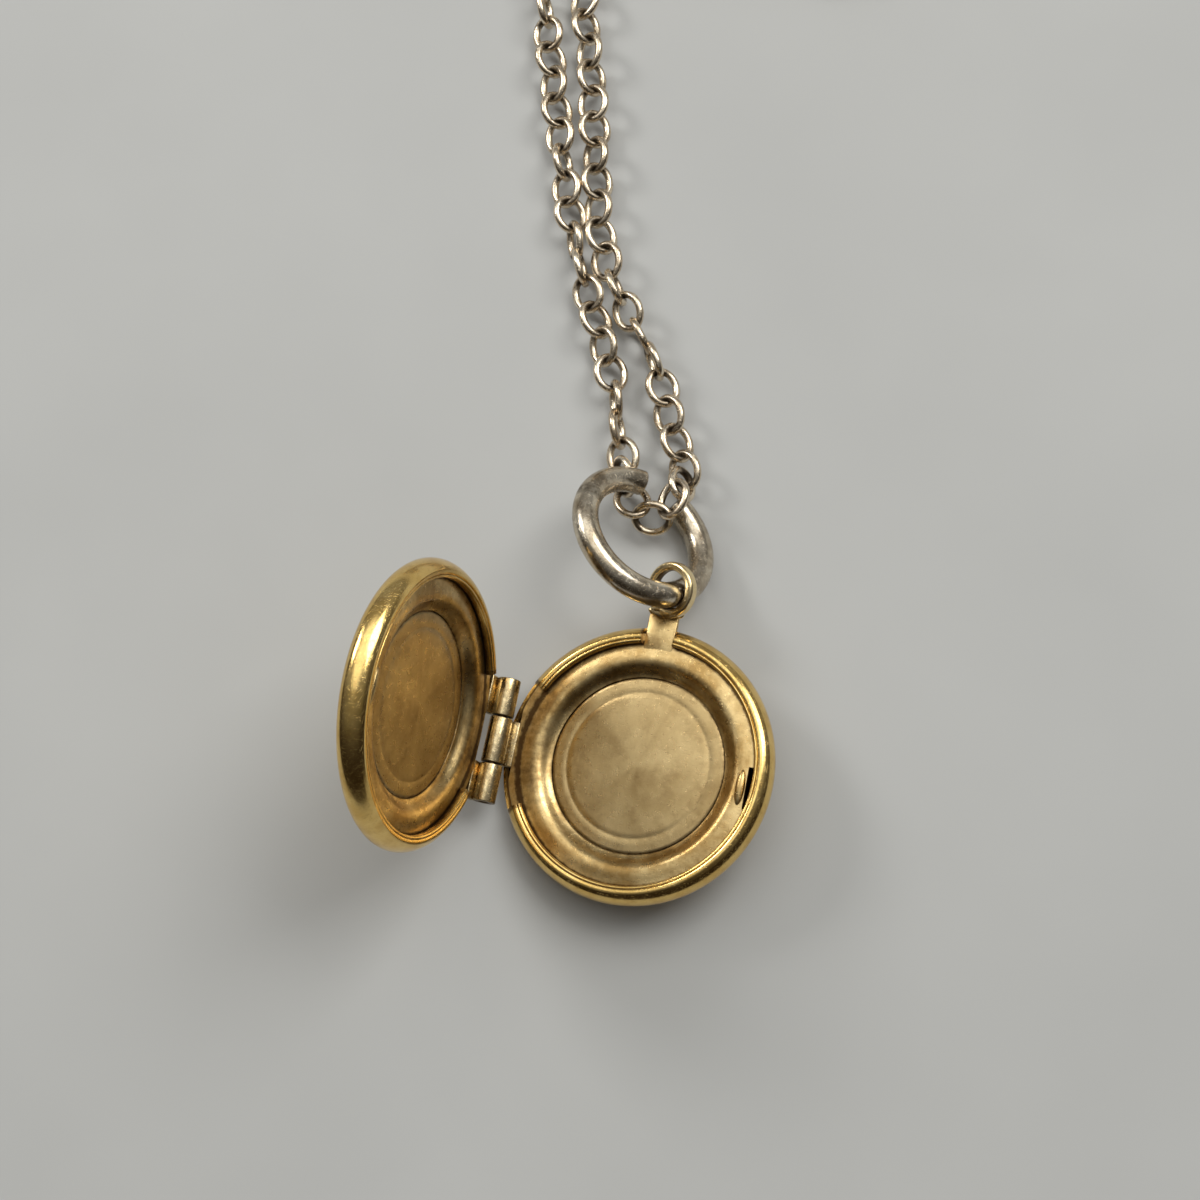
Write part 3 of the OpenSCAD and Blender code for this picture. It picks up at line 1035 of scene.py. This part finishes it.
        points = [(r, rise(r)) for r in (mark * i / 12 for i in range(12))]
        points += [(mark - 0.08, rise(mark - 0.08)), (mark, rise(mark) - 0.022)]
        points += [(mark + 0.09, rise(mark + 0.09) + 0.004), (edge - 0.5, rise(edge - 0.5))]
        points += [(edge - 0.2, 0.008), (edge - 0.05, 0.0)]
        points += [(edge, -0.04), (edge, -self.disc_t), (0.0, -self.disc_t)]
        bm = spun(points, self.steps // 2)

        def grime_and_shade(p: Vector) -> float:
            """Dirt along the pressed ring, painted shade along the disc's edge, and a darker patch in the
            middle.
            """
            r = p.xy.length
            ring = 1 - min(abs(r - mark) / 0.16, 1.0)
            # Painted shade along the disc's edge, where it meets the recess.
            rim = 1 - min(abs(r - self.seat_r) / 0.25, 1.0)
            # A darker patch across the middle.
            dark_patch = math.exp(-((p.x + 0.3) / 1.3) ** 2 - ((p.y + 0.7 + 0.3 * p.x) / 0.34) ** 2)
            return max(0.35 * ring, 0.65 * rim, 0.4 * dark_patch)

        self.maker.piece(name, bm, self.finishes.stained, self.body, (), self.place, grime_and_shade)


def carved(bm: bmesh.types.BMesh, cutters: list[bmesh.types.BMesh]) -> bmesh.types.BMesh:
    """Takes blocks out of a closed mesh.

    Args:
        bm: The mesh; it is freed.
        cutters: Closed meshes to take away; they are freed.

    Returns:
        The carved mesh.
    """
    holders = []
    for source in [bm, *cutters]:
        holders.append(placed("carving", mesh_of("carving", source)))
    target = holders[0]
    for cutter in holders[1:]:
        cut = target.modifiers.new("cut", "BOOLEAN")
        cut.operation = "DIFFERENCE"
        cut.solver = "EXACT"
        cut.object = cutter
    shape = target.evaluated_get(bpy.context.evaluated_depsgraph_get()).to_mesh()
    result = bmesh.new()
    result.from_mesh(shape)
    for holder in holders:
        mesh = holder.data
        bpy.data.objects.remove(holder)
        bpy.data.meshes.remove(mesh)
    return result


# ---------------------------------------------------------------- hinge, bail and ring


@dataclass
class Hinge:
    """Three rolled tubes with their leaves, and the pin through them."""

    finishes: Finishes
    maker: Maker
    back: Half
    lid: Half
    axis_x: float = 9.32
    axis_z: float = 1.25
    tube_r: float = 0.75
    bore_r: float = 0.35
    pin_r: float = 0.32
    # Painted shade over the whole pin, which sits in the shaded bore.
    pin_shade: float = 0.6
    middle: float = 3.0
    end: float = 2.5
    gap: float = 0.1

    def tube(self, length: float) -> bmesh.types.BMesh:
        """A short tube along Z with rounded ends."""
        half, soft = length / 2, 0.07
        points = arc(self.tube_r - soft, half - soft, soft, 0, 90, 4)
        points += arc(self.bore_r + soft, half - soft, soft, 90, 180, 4)
        points += arc(self.bore_r + soft, -half + soft, soft, 180, 270, 4)
        points += arc(self.tube_r - soft, -half + soft, soft, 270, 360, 4)
        return spun(points, 48, shut=True)

    def knuckle(self, name: str, half: Half, y: float, length: float) -> None:
        """Makes one tube with the leaf that is soldered to its plate."""
        lay = Matrix.Translation((-self.axis_x, y, self.axis_z)) @ Matrix.Rotation(math.pi / 2, 4, "X")
        bm = bmesh.new()
        merged(bm, self.tube(length), lay)
        leaf = 1.1
        low = half.seat_depth - half.sheet
        merged(bm, soft_block(
            Vector((leaf, length, half.sheet)),
            Vector((-self.axis_x + leaf / 2, y, low + half.sheet / 2)), 0.08,
        ))

        def grime_and_shade(p: Vector) -> float:
            """Painted shade in the bore, at the ends and under the tube."""
            r = math.hypot(p.x + self.axis_x, p.z - self.axis_z)
            side = max(0.0, 1 - (length / 2 - abs(p.y - y)) / 0.25)
            return max(0.9 if r < self.tube_r - 0.2 else 0.0, 0.55 * side, 0.6 if p.z < low + 0.1 else 0.0)

        self.maker.piece(name, bm, self.finishes.hinge, half.body, (), half.place, grime_and_shade)

    def pin(self) -> None:
        """Makes the pin, its ends a little rounded."""
        length = self.middle + 2 * self.end + 2 * self.gap - 0.3
        soft = 0.1
        points = [(0.0, length / 2)]
        points += arc(self.pin_r - soft, length / 2 - soft, soft, 90, 0, 4)
        points += arc(self.pin_r - soft, -length / 2 + soft, soft, 0, -90, 4)
        points += [(0.0, -length / 2)]
        lay = Matrix.Translation((-self.axis_x, 0, self.axis_z)) @ Matrix.Rotation(math.pi / 2, 4, "X")
        bm = spun(points, 32)
        bmesh.ops.transform(bm, matrix=lay, verts=bm.verts)
        # The whole pin is painted dark, as shade inside the bore.
        dirt_and_shade = [self.pin_shade] * len(bm.verts)
        self.maker.piece(
            "hinge_pin", bm, self.finishes.hinge, Body.BACK, (), self.back.place, dirt_and_shade
        )

    def make(self) -> None:
        """Makes the whole hinge."""
        end_y = (self.middle + self.end) / 2 + self.gap
        self.knuckle("back_knuckle", self.back, 0.0, self.middle)
        self.knuckle("lid_knuckle_upper", self.lid, end_y, self.end)
        self.knuckle("lid_knuckle_lower", self.lid, -end_y, self.end)
        self.pin()


@dataclass
class Hanger:
    """The soldered bail and the heavy jump ring."""

    finishes: Finishes
    maker: Maker
    ring_at: Vector
    ring_r: float = 4.45
    ring_wire: float = 1.7
    ring_tilt: float = 42.0
    ring_bearing: float = 40.0
    ring_gap: float = 34.0
    gap_from: float = 23.0
    worn: tuple[tuple[float, float, float], ...] = ((127.0, 0.17, 0.62), (152.0, 0.2, 0.42))
    bail_r: float = 1.5
    bail_band: tuple[float, float] = (0.58, 0.76)
    bail_grow: float = 0.04
    bail_shift: Vector = Vector((-0.36, 0.14, 0.08))
    bail_tilt: float = 35.0
    bail_bearing: float = 205.0

    def bail_at(self) -> Vector:
        """Middle of the bail, just beside the ring's wire that passes through it."""
        turn = math.radians(self.ring_bearing)
        wire = self.ring_at + self.ring_r * Vector((math.sin(turn), -math.cos(turn), 0))
        return wire + self.bail_shift

    def stand(self, at: Vector, tilt: float, bearing: float) -> Matrix:
        """Place of a ring that is tilted and then turned."""
        return (
            Matrix.Translation(at)
            @ Matrix.Rotation(math.radians(bearing), 4, "Z")
            @ Matrix.Rotation(math.radians(tilt), 4, "Y")
        )

    def bail(self) -> None:
        """Makes the bail, a flattened band, with the lump of solder at its foot."""
        thick, wide = self.bail_band
        section = [
            (self.bail_r + self.bail_grow + thick / 2 * math.copysign(abs(math.cos(a)) ** 0.6, math.cos(a)),
             wide / 2 * math.copysign(abs(math.sin(a)) ** 0.6, math.sin(a)))
            for a in (2 * math.pi * (i + 0.5) / 24 for i in range(24))
        ]
        stand = self.stand(self.bail_at(), self.bail_tilt, self.bail_bearing)
        bm = spun(section, 96, shut=True)
        bmesh.ops.transform(bm, matrix=stand, verts=bm.verts)
        lumps = [
            ((-0.12, -1.4, -0.54), (1.2, 0.44, 0.24)),
            ((-0.62, -1.24, -0.58), (0.42, 0.36, 0.22)),
        ]
        for offset, size in lumps:
            merged(bm, blob(size), Matrix.Translation(self.bail_at() + Vector(offset)))

        def grime_and_shade(p: Vector) -> float:
            """Painted shade inside the loop, where the ring passes through, and lower down round the
            solder.
            """
            away = (p - self.bail_at()).length
            # Painted shade inside the loop, and darker towards the bottom.
            return 0.7 if away < self.bail_r - 0.15 else max(0.0, 0.6 - (p.z + 0.2) / 0.8) * 0.6

        self.maker.piece("bail_loop", bm, self.finishes.hinge, Body.BACK, grime_and_shade=grime_and_shade)

    def ring(self) -> None:
        """Makes the jump ring, cut open, its ends a little rounded and rubbed."""
        section = [
            (self.ring_r + self.ring_wire / 2 * math.cos(a), self.ring_wire / 2 * math.sin(a))
            for a in (2 * math.pi * i / 40 for i in range(40))
        ]
        bm = spun(section, 150, 360 - self.ring_gap, shut=True)
        ends = [f for f in bm.faces if len(f.verts) > 4]
        rims = [e for f in ends for e in f.edges]
        bmesh.ops.bevel(
            bm, geom=rims, offset=0.09, segments=3, affect="EDGES", profile=0.5, material=-1
        )
        bmesh.ops.rotate(
            bm, matrix=Matrix.Rotation(math.radians(self.gap_from + self.ring_gap), 3, "Z"),
            verts=bm.verts, cent=(0, 0, 0),
        )
        seam = math.radians(self.gap_from + self.ring_gap + 38)

        def grime_and_shade(p: Vector) -> float:
            """Dirt inside the ring, on the cut ends, in a fine seam and in two worn patches."""
            bearing = math.atan2(p.y, p.x) % (2 * math.pi)
            line = max(0.0, 1 - abs(bearing - seam) / 0.022)
            first = math.radians(self.gap_from + self.ring_gap)
            last = math.radians(self.gap_from)
            end = max(0.0, 1 - abs(bearing - first) / 0.03, 1 - abs(bearing - last) / 0.03)
            inner = max(0.0, (self.ring_r - 0.45 - p.xy.length) / 0.5)
            worn = max(
                depth * max(0.0, 1 - ((bearing - math.radians(middle)) / spread) ** 2)
                for middle, spread, depth in self.worn
            )
            return max(0.8 * line, 1.0 * end, 0.5 * inner, worn if p.z > -0.3 else 0.0)

        stand = self.stand(self.ring_at, self.ring_tilt, self.ring_bearing)
        self.maker.piece("jump_ring", bm, self.finishes.ring, Body.RING, (), stand, grime_and_shade)

    def make(self) -> None:
        """Makes the bail and the ring."""
        self.bail()
        self.ring()


@dataclass
class Locket:
    """Both halves, the hinge and the hanger."""

    finishes: Finishes
    maker: Maker
    rock: float = 12.0
    lid_open: float = 93.0
    tab_w: float = 2.1
    tab_end: float = 10.25

    def make(self) -> None:
        """Makes every piece of the locket."""
        lean = Matrix.Rotation(-math.radians(self.rock), 4, "Y")
        back = Half(Body.BACK, lean, self.finishes, self.maker)
        hinge = Hinge(self.finishes, self.maker, back, back)
        x, z = hinge.axis_x, hinge.axis_z
        swing = (
            Matrix.Translation((-x, 0, z))
            @ Matrix.Rotation(-math.radians(self.lid_open), 4, "Y")
            @ Matrix.Translation((x, 0, z))
            @ Matrix.Scale(-1, 4, (0, 0, 1))
        )
        lid = Half(Body.LID, lean @ swing, self.finishes, self.maker)
        hinge.lid = lid
        tab_spread = math.degrees(math.asin((self.tab_w / 2 + 0.1) / back.case_r))
        back.shell("back_shell", [(180, back.hinge_cut), (90, tab_spread)])
        lid.shell("lid_shell", [(180, lid.hinge_cut)])
        back.plate("back_plate", self.back_notches(hinge), self.tab(back))
        lid.plate("lid_plate", [self.notch(hinge, 0.0, 8.6)])
        back.disc("back_photo_disc", 0.16)
        lid.disc("lid_photo_disc", 0.12)
        hinge.make()
        Hanger(self.finishes, self.maker, Vector((-2.4, 14.7, 1.12))).make()

    def notch(self, hinge: Hinge, y: float, length: float) -> tuple[Vector, Vector]:
        """Corners of the block that clears a plate round part of the hinge."""
        low = Vector((-hinge.axis_x - 1, y - length / 2, -1.4))
        return low, low + Vector((2.1, length, 4))

    def back_notches(self, hinge: Hinge) -> list[tuple[Vector, Vector]]:
        """The back plate's cut-outs: one round each tube."""
        end_y = (hinge.middle + hinge.end) / 2 + hinge.gap
        sides = [self.notch(hinge, side * (end_y + 1), hinge.end + 2.2) for side in (-1, 1)]
        return [*sides, self.notch(hinge, 0.0, hinge.middle + 0.04)]

    def tab(self, back: Half) -> bmesh.types.BMesh:
        """The strip of the back plate that carries the bail."""
        start = back.mouth_r + 1
        return soft_block(
            Vector((self.tab_w - 0.1, self.tab_end - start, back.sheet)),
            Vector((0, (self.tab_end + start) / 2, back.seat_depth - back.sheet / 2 + 0.012)), 0.09,
        )


def main() -> None:
    """Builds the scene in order and reports each piece."""
    logging.basicConfig(level=logging.INFO, format="%(message)s")
    Viewpoint().make()
    finishes = Finishes.make()
    maker = Maker()
    for node in ("clasp_body", "clasp_bolt", "clasp_spring", "clasp_link", "end_ring"):
        maker.dress(node, finishes.chain)
    Chain(finishes.chain, maker).make()
    Locket(finishes, maker).make()
    Studio().make()


if __name__ == "__main__":
    main()
